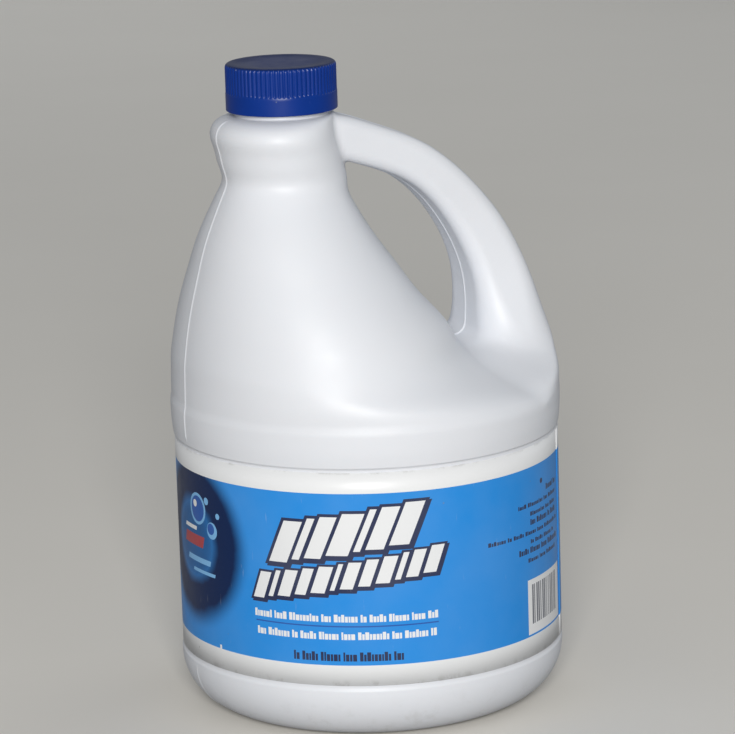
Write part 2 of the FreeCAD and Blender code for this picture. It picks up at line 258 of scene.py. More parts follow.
def hollow_field(x, y, z):
    """Distance to the flat cone under the base."""
    radius = np.hypot(x, y)
    run, rise = RIM_RADIUS - HOLLOW_RADIUS, HOLLOW_DEPTH
    wall = ((radius - RIM_RADIUS) * rise + z * run) / math.hypot(run, rise)
    return np.maximum(wall, z - HOLLOW_DEPTH)


def handle_line():
    """The strap's middle line, half its depth inside its back.

    It comes as curves along the line's length for x, z, half depth and half width, and as that length.
    """
    tilt = np.radians(HANDLE[:, 2])
    x = HANDLE[:, 0] + np.sin(tilt) * HANDLE[:, 3] / 2
    z = HANDLE[:, 1] - np.cos(tilt) * HANDLE[:, 3] / 2
    along = np.concatenate([[0], np.cumsum(np.hypot(np.diff(x), np.diff(z)))])
    return [spline(along, row) for row in (x, z, HANDLE[:, 3] / 2, HANDLE[:, 4])], along[-1]


strap_curves, strap_length = handle_line()

# How many marks on the strap's line are tried first, and how many steps then lead to its nearest point.
STRAP_MARKS = 60
STRAP_STEPS = 7


def strap_field(x, y, z):
    """Distance to the strap: how far a point is beyond its half depth and its half width, edges rounded."""
    # The middle line lies in the XZ plane, so points that differ only in y share one search along it.
    places, which = np.unique(x + 1j * z, return_inverse=True)
    curve_x, curve_z, curve_depth, curve_width = strap_curves
    marks_along = np.linspace(0, strap_length, STRAP_MARKS)
    line = curve_x(marks_along)[0] + 1j * curve_z(marks_along)[0]
    along = marks_along[np.abs(places[:, None] - line).argmin(axis=1)]
    # From the nearest mark on, each step goes to the foot of the perpendicular on the line's tangent.
    for _ in range(STRAP_STEPS):
        line_x, slope_x = curve_x(along)
        line_z, slope_z = curve_z(along)
        ahead = (places.real - line_x) * slope_x + (places.imag - line_z) * slope_z
        along = np.clip(along + ahead / (slope_x**2 + slope_z**2), 0, strap_length)
    away = np.hypot(places.real - curve_x(along)[0], places.imag - curve_z(along)[0])[which]
    depth, width = curve_depth(along)[0][which], curve_width(along)[0][which]
    edge = depth * (GRIP_ROUNDING + FOOT_MORE_ROUNDING * ease(GRIP_HALF_DEPTH, FOOT_HALF_DEPTH, depth))
    return rounded_corner(away - depth, np.abs(y) - width, edge)


def bottle_field(points, ridge=True):
    """Distance to the bottle's outside: the lesser of body and strap with a valley between, less the hollow.

    The parting ridge is taken off the distance: a bell curve of y, where the mould's halves met.
    """
    x, y, z = points.T
    field = body_field(x, y, z)
    # Only the points round the strap need its distance.
    near = (x > STRAP_FROM_X) & (z > STRAP_FROM_Z) & (np.abs(y) < STRAP_HALF_REACH)
    height = z[near]
    strap = strap_field(x[near], y[near], height)
    # The strap keeps inside the panel, and comes out to the bumper's radius above it.
    reach = np.hypot(x, y)
    limit = PANEL_RADIUS - STRAP_INSET + STRAP_GROWTH * ease(112, 128, height)
    strap = blend_in(strap, reach[near] - limit, 3.0)
    # The valley beside the strap is sharp on the panel, wide on the shoulder and narrow by the grip.
    soft = 0.4 + 1.8 * ease(119, 124, height) + 10.0 * ease(120, 132, height) * (1 - ease(142, 172, height))
    field[near] = blend_out(field[near], strap, soft)
    round_edge = 0.3 + 2.2 * ease(123, 127, z) * (1 - ease(135, 150, z))
    field = blend_in(field, reach - BUMPER_RADIUS, round_edge)
    field = blend_in(field, z - DOME_TOP, 1.6)
    field = blend_in(field, -hollow_field(x, y, z), 2.0)
    if ridge:
        shown = ease(PANEL_TOP + 1, PANEL_TOP + 4, z) * (1 - ease(DOME_TOP - 1.5, DOME_TOP - 0.2, z))
        shown = shown + 0.6 * (1 - ease(PANEL_FOOT - 4, PANEL_FOOT - 1, z)) * ease(2, 6, z)
        field = field - RIDGE_HEIGHT * shown * np.exp(-(y / RIDGE_SPREAD)**2)
    return field


# How fine the turned shapes are: sides of the neck, and sides of the cap for each rib.
NECK_SIDES = 160
SIDES_PER_RIB = 8

# How often the points of a level surface are moved towards it, and the least slope that a step reckons with.
SETTLING_STEPS = 4
LEAST_SLOPE = 0.3


def slope_of(field, points):
    """The field at the points and its slope there, by small steps along each axis."""
    step = 0.02
    here = field(points)
    slopes = [(field(points + step * np.eye(3)[axis]) - here) / step for axis in range(3)]
    return here, np.stack(slopes, axis=1)


def level_surface(field, xs, ys, zs):
    """Where the field is zero: a point in each grid cell that it crosses, a face across each crossed edge.

    A point starts at the mean of its cell's crossings, and settles by steps of field over slope.
    """
    grid = np.stack(np.meshgrid(xs, ys, zs, indexing="ij"), axis=-1)
    values = field(grid.reshape(-1, 3)).reshape(grid.shape[:3])
    below = values < 0
    cells = tuple(n - 1 for n in below.shape)
    corners = [(i, j, k) for i in (0, 1) for j in (0, 1) for k in (0, 1)]

    def corner(array, i, j, k):
        return array[i:i + cells[0], j:j + cells[1], k:k + cells[2]]

    count = sum(corner(below, *c).astype(int) for c in corners)
    crossed = (count > 0) & (count < 8)
    number = np.full(cells, -1)
    number[crossed] = np.arange(crossed.sum())
    total = np.zeros((crossed.sum(), 3))
    hits = np.zeros(crossed.sum())
    for first in corners:
        for axis in range(3):
            if first[axis]:
                continue
            second = tuple(first[n] + (n == axis) for n in range(3))
            low, high = corner(values, *first)[crossed], corner(values, *second)[crossed]
            meets = (low < 0) != (high < 0)
            share = np.where(meets, low / np.where(meets, low - high, 1), 0)[:, None]
            place = corner(grid, *first)[crossed] * (1 - share) + corner(grid, *second)[crossed] * share
            total += place * meets[:, None]
            hits += meets
    points = total / hits[:, None]
    faces = []
    for axis in range(3):
        head = [slice(None)] * 3
        tail = [slice(None)] * 3
        head[axis], tail[axis] = slice(None, -1), slice(1, None)
        low, high = below[tuple(head)], below[tuple(tail)]
        one, two = [n for n in range(3) if n != axis]
        edge = np.argwhere(low != high)
        inside = (edge[:, one] > 0) & (edge[:, two] > 0)
        inside &= (edge[:, one] < below.shape[one] - 1) & (edge[:, two] < below.shape[two] - 1)
        edge = edge[inside]
        ring = []
        for back_one, back_two in ((1, 1), (0, 1), (0, 0), (1, 0)):
            cell = edge.copy()
            cell[:, one] -= back_one
            cell[:, two] -= back_two
            ring.append(number[tuple(cell.T)])
        ring = np.stack(ring, axis=1)
        flip = low[tuple(edge.T)] == (axis == 1)
        ring[flip] = ring[flip][:, ::-1]
        faces.append(ring)
    for _ in range(SETTLING_STEPS):
        here, slopes = slope_of(field, points)
        step = np.clip(here / np.maximum((slopes**2).sum(axis=1), LEAST_SLOPE), -1, 1)
        points -= step[:, None] * slopes
    return points, np.concatenate(faces)


def open_mouth(points, faces, cut, ring, flat_within=0.8):
    """Cuts the flat top away round the neck, and joins the hole's edge to the ring with flat triangles."""
    height = ring[0, 2]
    reach = np.hypot(points[:, 0] - NECK_X, points[:, 1])
    gone = (reach < cut) & (np.abs(points[:, 2] - height) < flat_within)
    kept = faces[~gone[faces].any(axis=1)]
    edges = np.sort(np.concatenate([kept[:, [n, (n + 1) % 4]] for n in range(4)]), axis=1)
    edges, uses = np.unique(edges, axis=0, return_counts=True)
    edges = edges[uses == 1]
    rim = np.unique(edges)
    points[rim, 2] = height
    turn = np.arange(len(ring)) + len(rim)
    links = np.concatenate([np.searchsorted(rim, edges), np.stack([turn, np.roll(turn, -1)], axis=1)])
    flat = [Vector(p) for p in np.concatenate([points[rim, :2], ring[:, :2]]).tolist()]
    filled = delaunay_2d_cdt(flat, links.tolist(), [], 1, 1e-6)
    # Which rim or ring point each corner of the filling is.
    source = np.array([origin[0] for origin in filled[3]])
    corners = source[np.array(filled[2])]
    corners = corners[(corners < len(rim)).any(axis=1)]
    where = np.concatenate([rim, len(points) + np.arange(len(ring))])
    return kept, where[corners]


def thread_height(z, turn, foot, half_root, half_crest, depth):
    """How far a thread stands out: a trapezium about a line that climbs with the angle, faded at the ends.

    A point within half_crest of the line gets the whole depth, and one past half_root gets none.
    """
    rise = np.zeros(np.broadcast(z, turn).shape)
    last = THREAD_TURNS * 2 * math.pi
    for lap in range(2):
        angle = turn + lap * 2 * math.pi
        gap = np.abs(z - foot - THREAD_PITCH * angle / (2 * math.pi))
        ends = ease(-0.02, 0.12, angle) * (1 - ease(last - 0.12, last, angle))
        rise = np.maximum(rise, ends * depth * np.clip((half_root - gap) / (half_root - half_crest), 0, 1))
    return rise


def round_off(points, start, end, middle, radius, steps=5):
    """Adds an arc to a profile: its middle plus the radius at angles from start to end, in degrees."""
    for angle in np.radians(np.linspace(start, end, steps)):
        points.append((middle[0] + radius * math.cos(angle), middle[1] + radius * math.sin(angle)))


def neck_points(turns):
    """The neck as rows of points: a profile turned about its axis, with the thread's height added to it.

    The profile is the foot's fillet, the wall, the rounded lip, and the bore down to the wall's inside.
    """
    profile = [(NECK_RADIUS + 0.8, DOME_TOP), (NECK_RADIUS + 0.25, DOME_TOP + 0.15)]
    profile += [(NECK_RADIUS, DOME_TOP + 0.7)]
    profile += [(NECK_RADIUS, z) for z in np.arange(DOME_TOP + 2, MOUTH - 0.7, 0.35)]
    round_off(profile, 0, 90, (NECK_RADIUS - 0.6, MOUTH - 0.6), 0.6)
    round_off(profile, 90, 180, (BORE_RADIUS + 0.4, MOUTH - 0.4), 0.4)
    profile += [(BORE_RADIUS, z) for z in np.linspace(MOUTH - 2, DOME_TOP - WALL, 6)]
    radius, z = np.array(profile).T[:, :, None]
    turn = np.linspace(0, 2 * math.pi, turns, endpoint=False)
    outside = (radius > NECK_RADIUS - 0.1) & (z > DOME_TOP + 1)
    radius = radius + outside * thread_height(z, turn, *NECK_THREAD)
    return np.stack([NECK_X + radius * np.cos(turn), radius * np.sin(turn), z + 0 * turn], axis=-1)


def grid_faces(rows, turns, first=0):
    """Faces between neighbouring rows of a closed band of points."""
    here = first + np.arange(rows * turns).reshape(rows, turns)
    after = np.roll(here, -1, axis=1)
    return np.stack([here[:-1], after[:-1], after[1:], here[1:]], axis=-1).reshape(-1, 4)


def mesh_piece(name, points, faces):
    """An object of points in millimetres and lists of faces, smooth all over."""
    mesh = bpy.data.meshes.new(name)
    lists = [face for group in faces for face in np.asarray(group).tolist()]
    mesh.from_pydata((np.asarray(points) * MM).tolist(), [], lists)
    mesh.polygons.foreach_set("use_smooth", np.ones(len(lists), bool))
    mesh.update()
    piece = bpy.data.objects.new(name, mesh)
    bpy.context.scene.collection.objects.link(piece)
    return piece


def bottle_skin():
    """The blown bottle: outside and inside are level surfaces of one field, joined by the threaded neck."""
    # Grid lines stand closer at the parting ridge, the panel's steps and the dome's flat top.
    fine = np.array([0.2, 0.55, 0.95, 1.5])
    ys = np.concatenate([fine, np.arange(3.1, 79.5, 1.7)])
    ys = np.concatenate([-ys[::-1], ys])
    zs = np.concatenate([
        np.arange(-1.1, 22.0, 1.5), np.arange(22.3, 24.6, 0.6), np.arange(28.0, 106.0, 4.2),
        np.arange(109.0, 112.4, 0.42), np.arange(113.6, 234.5, 1.65), np.arange(235.2, 239.2, 0.7),
    ])
    outside, outside_faces = level_surface(bottle_field, np.arange(-79.3, 79.5, 1.7), ys, zs)
    coarse = np.arange(-78.3, 79.0, 3.2)
    inside_zs = np.concatenate([np.arange(-0.3, 20, 2.8), np.arange(26, 108, 8), np.arange(110.2, 234, 2.8),
                                np.arange(235.1, 239, 1.0)])

    def cavity(points):
        return bottle_field(points, ridge=False) + WALL

    inside, inside_faces = level_surface(cavity, coarse, coarse, inside_zs)
    neck = neck_points(NECK_SIDES)
    outside_faces, outside_fill = open_mouth(outside, outside_faces, NECK_RADIUS + 1.0, neck[0])
    inside_faces, inside_fill = open_mouth(inside, inside_faces, BORE_RADIUS + 0.6, neck[-1])
    rows, turns = neck.shape[:2]
    first_neck, first_inside = len(outside), len(outside) + rows * turns
    # The inside's numbers start after the neck's, and its last corners are the neck's last row.
    ring = np.arange(turns) + first_neck + (rows - 1) * turns
    lookup = np.concatenate([np.arange(len(inside)) + first_inside, ring])
    points = np.concatenate([outside, neck.reshape(-1, 3), inside])
    faces = [outside_faces, outside_fill, grid_faces(rows, turns, first_neck),
             lookup[inside_faces][:, ::-1], lookup[inside_fill][:, ::-1]]
    return points, faces


def smooth_normals(piece, field, count, alike=0.9):
    """Normals of the first points from the field's own slope, and of the rest from their faces."""
    mesh = piece.data
    normals = np.zeros(len(mesh.vertices) * 3)
    mesh.vertices.foreach_get("normal", normals)
    normals = normals.reshape(-1, 3)
    points = np.zeros(len(mesh.vertices) * 3)
    mesh.vertices.foreach_get("co", points)
    slopes = slope_of(field, points.reshape(-1, 3)[:count] / MM)[1]
    slopes /= np.linalg.norm(slopes, axis=1)[:, None]
    # Round the mouth and at sharp bends the faces know better.
    agree = (slopes * normals[:count]).sum(axis=1) > alike
    normals[:count][agree] = slopes[agree]
    mesh.normals_split_custom_set_from_vertices(normals.tolist())


def turned_piece(name, points):
    """A closed piece from rows of points round an axis. Each end row is one point, and it faces out."""
    rows, turns = points.shape[:2]
    piece = mesh_piece(name, points.reshape(-1, 3), [grid_faces(rows, turns)])
    shell = bmesh.new()
    shell.from_mesh(piece.data)
    bmesh.ops.remove_doubles(shell, verts=shell.verts, dist=1e-7)
    bmesh.ops.recalc_face_normals(shell, faces=shell.faces)
    shell.to_mesh(piece.data)
    shell.free()
    return piece


def cap_points():
    """The cap as rows of points: a profile turned about its axis, less the grooves and the thread.

    The profile runs from the middle of its top, out over the ribbed skirt, and in under the ceiling.
    """
    # The top is dished a little inside a raised rim.
    profile = [(0, CAP_TOP - 0.45), (6, CAP_TOP - 0.45), (12, CAP_TOP - 0.42), (16.4, CAP_TOP - 0.3)]
    profile += [(17.4, CAP_TOP - 0.12), (18.2, CAP_TOP), (19.2, CAP_TOP)]
    round_off(profile, 90, 0, (CAP_RADIUS - CAP_EDGE, CAP_TOP - CAP_EDGE), CAP_EDGE, steps=7)
    profile += [(CAP_RADIUS, z) for z in np.linspace(CAP_TOP - CAP_EDGE - 0.8, BAND_TOP + 0.9, 7)]
    profile += [(CAP_RADIUS, BAND_TOP + 0.45), (CAP_RADIUS, BAND_TOP + 0.05)]
    profile += [(CAP_RADIUS + BAND_PROUD, BAND_TOP - 0.3)]
    profile += [(CAP_RADIUS + BAND_PROUD, z) for z in np.linspace(BAND_TOP - 1.2, CAP_FOOT + 0.5, 5)]
    round_off(profile, 0, -90, (CAP_RADIUS - 0.28, CAP_FOOT + 0.4), 0.4)
    profile += [(CAP_BORE + 0.3, CAP_FOOT), (CAP_BORE, CAP_FOOT + 0.3)]
    profile += [(CAP_BORE, z) for z in np.arange(CAP_FOOT + 1, CAP_CEILING - 0.5, 0.4)]
    profile += [(CAP_BORE, CAP_CEILING), (12, CAP_CEILING), (0, CAP_CEILING)]
    radius, z = np.array(profile).T[:, :, None]
    outer = np.arange(len(profile))[:, None] <= np.argmax(z[:, 0] == CAP_FOOT)
    turn = np.linspace(0, 2 * math.pi, RIB_COUNT * SIDES_PER_RIB, endpoint=False)
    # Each groove is a wave about two thirds of a rib's pitch wide. It runs out at the top edge and the band.
    phase = np.abs((turn * RIB_COUNT / (2 * math.pi) + 0.5) % 1 - 0.5)
    groove = 0.5 + 0.5 * np.cos(np.clip(phase / GROOVE_HALF, 0, 1) * math.pi)
    ribbed = ease(BAND_TOP, BAND_TOP + 0.5, z) * (1 - ease(CAP_TOP - 0.9, CAP_TOP - 0.1, z)) * outer
    radius = radius - RIB_DEPTH * groove * ribbed * (radius > 19)
    inside = ~outer & (np.abs(radius - CAP_BORE) < 0.01)
    radius = radius - inside * thread_height(z, turn, *CAP_THREAD)
    return np.stack([NECK_X + radius * np.cos(turn), radius * np.sin(turn), z + 0 * turn], axis=-1)


# The label. Across is the length round the panel from the middle of the front, and up is the height.
LABEL_FOOT = 24.4
LABEL_TOP = 108.9
LABEL_RADIUS = 76.2
LABEL_START = -373.8
LABEL_END = 114.0
LABEL_LAP = 9.0
LABEL_COLUMNS = 162
LAP_LIFT = 0.22
LAP_SLOPE = 4
LAP_DROP = 0.25
EDGE_WANDER = 0.12
PAPER_THICKNESS = 0.19
FRONT = math.radians(-114)

# Half the way round, from the front's print to the back's.
BACK = -239.4

# The middles of the two round motifs, and the height of the dark glow round them.
ROUNDELS = (-86.0, -325.4)
GLOW_UP = 73.5

# Inks. The last number is 1 where the glow may darken the print.
PAPER = (0.86, 0.87, 0.88, 0.0)
BLUE = (0.0, 0.265, 0.78, 1.0)
NAVY = (0.0, 0.008, 0.065, 0.0)
DEEP_BLUE = (0.0, 0.09, 0.42, 0.0)
PALE_BLUE = (0.20, 0.50, 0.86, 0.0)
RED = (0.42, 0.025, 0.035, 0.0)
INK = (0.16, 0.17, 0.20, 0.0)

# The blue field's lower and upper edges, and how far the shadow of a title block is off it.
BLUE_FOOT = 32.6
BLUE_TOP = 100.7
SHADOW = 0.8

# Small print: the gaps between bars and between words, and how high a short bar is by a tall one.
BAR_GAP = 0.28
WORD_GAP = 0.9
SHORT_BAR = 0.76


def slanted(across, up, width, height, lean, grow=0.0):
    """Four corners of a block: its sides move across by lean for each step up, and it grows by a margin."""
    low, high = up - grow, up + height + grow
    left, right = across - grow * 1.15, across + width + grow * 1.15
    return [(left - grow * lean, low), (right - grow * lean, low),
            (right + (height + grow) * lean, high), (left + (height + grow) * lean, high)]


def disc(across, up, radius, sides=30):
    """Points round a circle: its middle plus the radius at even angles."""
    turn = np.linspace(0, 2 * math.pi, sides, endpoint=False)
    return np.stack([across + radius * np.cos(turn), up + radius * np.sin(turn)], axis=1).tolist()


def box(left, right, low, high):
    """Four corners of an upright rectangle."""
    return [(left, low), (right, low), (right, high), (left, high)]


def title(shapes, across, up, climb, lean, height, widths, gap, margin):
    """A row of white slanted blocks on a climbing line, each over a wider navy one and that one's shadow."""
    for under in (True, False):
        place = across
        for width in widths:
            foot = up + (place - across) * climb
            if under:
                shapes.append((slanted(place, foot, width, height, lean, margin), NAVY))
                shapes.append((slanted(place + SHADOW, foot - SHADOW, width, height, lean, margin), NAVY))
            else:
                shapes.append((slanted(place, foot, width, height, lean), PAPER))
            place += width + gap


def small_print(shapes, left, right, low, high, ink, start=0):
    """A line that stands for small print: words of narrow bars, some of them taller, with gaps between."""
    widths = (1.1, 0.7, 1.3, 0.9, 1.5, 0.8, 1.2)
    words = (6, 4, 9, 3, 7, 2, 5)
    place, count, word = left, 0, start
    while place < right - WORD_GAP:
        width = min(widths[(count + word) % 7], right - place)
        tall = count == 0 or (3 * count + word) % 5 == 0
        top = high if tall else low + SHORT_BAR * (high - low)
        shapes.append((box(place, place + width, low, top), ink))
        place += width + BAR_GAP
        count += 1
        if count == words[word % 7]:
            place, count, word = place + WORD_GAP, 0, word + 1


def front_print(shapes, shift):
    """Title, lines of small print and a rule, as they lie on the front and again on the back."""
    big = (7.6, 3.0, 6.6, 8.6, 2.6, 7.0, 7.8)
    small = (4.8, 2.0, 5.2, 4.4, 5.6, 1.8, 5.0, 4.6, 5.4, 2.2, 4.8, 5.2)
    title(shapes, shift - 40.6, 72.6, 0.156, 0.42, 16.6, big, 2.1, 1.2)
    title(shapes, shift - 48.4, 57.4, 0.156, 0.36, 10.6, small, 2.1, 0.9)
    small_print(shapes, shift - 48, shift + 26, 49.9, 52.9, PAPER)
    shapes.append((box(shift - 47.6, shift + 26.2, 47.9, 48.45), DEEP_BLUE))
    small_print(shapes, shift - 47, shift + 26.4, 42.9, 45.9, PAPER, 3)
    small_print(shapes, shift - 31.2, shift + 13.6, 34.3, 37.9, NAVY, 5)


def label_shapes():
    """Every printed shape, the lowest first: each is a convex outline and an ink."""
    shapes = [(box(LABEL_START, LABEL_END, BLUE_FOOT, BLUE_TOP), BLUE)]
    front_print(shapes, 0)
    front_print(shapes, BACK)
    for middle in ROUNDELS:
        # Bubbles and slanted bars, one of them red, inside the dark round glow that the material shades.
        shapes.append((disc(middle + 4.5, 86.5, 6.4), PALE_BLUE))
        shapes.append((disc(middle + 4.5, 86.5, 5.2), DEEP_BLUE))
        shapes.append((disc(middle + 2.6, 88.4, 1.5), PAPER))
        shapes.append((disc(middle + 15.0, 79.5, 3.4), PALE_BLUE))
        shapes.append((disc(middle + 14.3, 80.1, 2.3), DEEP_BLUE))
        shapes.append((disc(middle + 11.6, 90.8, 1.5), PALE_BLUE))
        shapes.append((disc(middle + 19.0, 86.0, 1.2), PALE_BLUE))
        shapes.append((slanted(middle - 9.0, 71.0, 17.0, 4.6, 0.3), RED))
        shapes.append((slanted(middle - 6.0, 64.6, 19.0, 2.2, 0.3), PALE_BLUE))
        shapes.append((slanted(middle - 1.0, 60.6, 17.0, 1.4, 0.3), PALE_BLUE))
        shapes.append((slanted(middle - 8.0, 77.4, 11.0, 1.6, 0.3), PAPER))
        shapes.append((slanted(middle + 17.6, 32.4, 1.2, 1.8, 0.0), PAPER))
    shapes.append((disc(83.4, 93.3, 1.1, 12), NAVY))
    lines = ((88, 101), (66, 101), (74, 99), (74, 101), (49, 101), (74, 96), (66, 101), (72, 98))
    for row, (left, right) in enumerate(lines):
        low = 88.6 - row * 3.7
        small_print(shapes, left, right, low, low + (1.7 if row % 3 else 2.4), NAVY, row)
    shapes.append((box(71.3, 102.6, 33.4, 55.6), PAPER))
    bars = np.random.default_rng(7).choice((0.5, 0.9, 1.4), (2, 16))
    place = 74.2
    for bar, gap in bars.T:
        shapes.append((box(place, place + bar * 0.8, 37.4, 53.4), INK))
        place += bar * 0.8 + gap * 0.75
    # A white panel of small print on the way round to the back.
    shapes.append((box(-178.0, -126.0, 38.0, 96.0), PAPER))
    for row in range(13):
        low = 91.0 - row * 4.05
        left = -175.0 if row % 4 else -172.0
        small_print(shapes, left, -131.0 - (row * 7) % 11, low, low + 1.5, INK, row)
    return shapes


def label_piece():
    """The label: flat, cut along every printed edge, then wrapped round the panel, its start over its end.

    A point's angle is its length across over the radius, and its height stays, apart from a small drift.
    """
    shapes = label_shapes()
    columns = np.linspace(LABEL_START, LABEL_END, LABEL_COLUMNS)
    number = np.arange(LABEL_COLUMNS)
    spots = [np.stack([columns, np.full(LABEL_COLUMNS, up)], axis=1) for up in (LABEL_FOOT, LABEL_TOP)]
    links = [np.stack([number, number + LABEL_COLUMNS], axis=1)]
    for row_start in (0, LABEL_COLUMNS):
        links.append(row_start + np.stack([number[:-1], number[1:]], axis=1))
    first = 2 * LABEL_COLUMNS
    for outline, _ in shapes:
        count = len(outline)
        turn = first + np.arange(count)
        spots.append(np.array(outline))
        links.append(np.stack([turn, np.roll(turn, -1)], axis=1))
        first += count
    flat = [Vector(p) for p in np.concatenate(spots).tolist()]
    cut = delaunay_2d_cdt(flat, np.concatenate(links).tolist(), [], 1, 1e-4)
    places = np.array([tuple(v) for v in cut[0]])
    faces = np.array(cut[2])
    middle = places[faces].mean(axis=1)
    colours = np.tile(PAPER, (len(faces), 1))
    for outline, colour in shapes:
        corners = np.array(outline)
        run = np.roll(corners, -1, axis=0) - corners
        gap = middle[:, None] - corners
        colours[((run[:, 0] * gap[:, :, 1] - run[:, 1] * gap[:, :, 0]) > 0).all(axis=1)] = colour
    across, up = places.T
    lap = 1 - ease(LABEL_START + LABEL_LAP, LABEL_START + LABEL_LAP + LAP_SLOPE, across)
    radius = LABEL_RADIUS + LAP_LIFT * lap
    angle = FRONT + across / LABEL_RADIUS
    # The paper's edges wander a little, and its start lies slightly low.
    drift = EDGE_WANDER * np.sin(angle * 2.0 + 0.6) - LAP_DROP * lap
    points = np.stack([radius * np.cos(angle), radius * np.sin(angle), up + drift], axis=1)
    piece = mesh_piece("label_print", points, [faces])
    layer = piece.data.color_attributes.new("print", "FLOAT_COLOR", "CORNER")
    layer.data.foreach_set("color", np.repeat(colours, 3, axis=0).ravel())
    flat_map = piece.data.uv_layers.new(name="flat")
    flat_map.data.foreach_set("uv", (places[faces] * MM).ravel())
    thick = piece.modifiers.new("paper", "SOLIDIFY")
    thick.thickness = PAPER_THICKNESS * MM
    thick.offset = -1
    return piece


def add_node(tree, kind, inputs=None, **settings):
    """Adds a node to a tree. Settings are its properties, and inputs are values or sockets that feed it."""
    made = tree.nodes.new(kind)
    for key, value in settings.items():
        setattr(made, key, value)
    for key, value in (inputs or {}).items():
        if isinstance(value, bpy.types.NodeSocket):
            tree.links.new(value, made.inputs[key])
        else:
            made.inputs[key].default_value = value
    return made


def maths(tree, operation, first, second=0.5, clamp=False):
    """One sum on one or two values."""
    made = add_node(tree, "ShaderNodeMath", {0: first, 1: second}, operation=operation, use_clamp=clamp)
    return made.outputs[0]


def ramp(tree, value, low, high, start=0.0, end=1.0):
    """A value carried from one range to another along an S curve."""
    inputs = {"Value": value, "From Min": low, "From Max": high, "To Min": start, "To Max": end}
    return add_node(tree, "ShaderNodeMapRange", inputs, interpolation_type="SMOOTHSTEP").outputs[0]


def mixed(tree, factor, first, second):
    """One colour laid over another."""
    made = add_node(tree, "ShaderNodeMix", data_type="RGBA")
    for number, value in ((0, factor), (6, first), (7, second)):
        if isinstance(value, bpy.types.NodeSocket):
            tree.links.new(value, made.inputs[number])
        else:
            made.inputs[number].default_value = value
    return made.outputs[2]


def noise(tree, place, scale, detail=3.0, roughness=0.5):
    """A cloudy value about a half, finer with the scale."""
    inputs = {"Vector": place, "Scale": scale, "Detail": detail, "Roughness": roughness}
    return add_node(tree, "ShaderNodeTexNoise", inputs).outputs["Fac"]


def new_group(name, inputs, outputs):
    """An empty shader group with its sockets: inputs with their defaults, and outputs."""
    tree = bpy.data.node_groups.new(name, "ShaderNodeTree")
    for label, kind, default in inputs:
        socket = tree.interface.new_socket(name=label, in_out="INPUT", socket_type=kind)
        if default is not None:
            socket.default_value = default
    for label, kind in outputs:
        tree.interface.new_socket(name=label, in_out="OUTPUT", socket_type=kind)
    return tree, tree.nodes.new("NodeGroupInput").outputs, tree.nodes.new("NodeGroupOutput").inputs


def moulded_surface_group():
    """Relief of a moulded wall: slow waves, orange peel and fine grain, added up as a height in metres."""
    tree, given, made = new_group(
        "moulded_surface",
        [("Place", "NodeSocketVector", None), ("Waves", "NodeSocketFloat", 0.00002),
         ("Peel", "NodeSocketFloat", 0.000004), ("Grain", "NodeSocketFloat", 0.000001)],
        [("Height", "NodeSocketFloat"), ("Unevenness", "NodeSocketFloat")])
    waves = noise(tree, given["Place"], 28.0, 2.0)
    peel = noise(tree, given["Place"], 420.0, 2.0)
    grain = noise(tree, given["Place"], 2600.0, 2.0)
    height = maths(tree, "MULTIPLY", waves, given["Waves"])
    height = maths(tree, "ADD", height, maths(tree, "MULTIPLY", peel, given["Peel"]))
    height = maths(tree, "ADD", height, maths(tree, "MULTIPLY", grain, given["Grain"]))
    tree.links.new(height, made["Height"])
    tree.links.new(ramp(tree, noise(tree, given["Place"], 60.0, 4.0, 0.6), 0.35, 0.65), made["Unevenness"])
    return tree


def handling_marks_group():
    """Wear from handling: small specks of dirt, and fine scuffs that run in streaks."""
    tree, given, made = new_group(
        "handling_marks",
        [("Place", "NodeSocketVector", None), ("Speck Scale", "NodeSocketFloat", 140.0),
         ("Speck Share", "NodeSocketFloat", 0.1), ("Scuff Scale", "NodeSocketFloat", 60.0)],
        [("Specks", "NodeSocketFloat"), ("Scuffs", "NodeSocketFloat")])
    cells = add_node(tree, "ShaderNodeTexVoronoi",
                     {"Vector": given["Place"], "Scale": given["Speck Scale"], "Randomness": 1.0})
    lot = add_node(tree, "ShaderNodeTexWhiteNoise", {"Vector": cells.outputs["Position"]}).outputs["Value"]
    chosen = maths(tree, "LESS_THAN", lot, given["Speck Share"])
    small = ramp(tree, cells.outputs["Distance"], 0.06, 0.11, 1.0, 0.0)
    tree.links.new(maths(tree, "MULTIPLY", chosen, small), made["Specks"])
    stretched = add_node(tree, "ShaderNodeMapping", {"Vector": given["Place"], "Scale": (1.0, 1.0, 0.12),
                                                     "Rotation": (0.5, 0.35, 0.2)}).outputs[0]
    streak_scale = maths(tree, "MULTIPLY", given["Scuff Scale"], 14.0)
    streaks = ramp(tree, noise(tree, stretched, streak_scale, 2.0), 0.68, 0.76)
    patches = ramp(tree, noise(tree, given["Place"], given["Scuff Scale"], 2.0), 0.52, 0.68)
    tree.links.new(maths(tree, "MULTIPLY", streaks, patches), made["Scuffs"])
    return tree


moulded_surface = moulded_surface_group()
handling_marks = handling_marks_group()


def new_material(name, **constants):
    """A material with one shader, whose constant values are set on its own sockets."""
    material = bpy.data.materials.new(name)
    material.use_nodes = True
    tree = material.node_tree
    shader = tree.nodes["Principled BSDF"]
    for label, value in constants.items():
        shader.inputs[label.replace("_", " ")].default_value = value
    place = tree.nodes.new("ShaderNodeTexCoord").outputs["Object"]
    return material, tree, shader, place


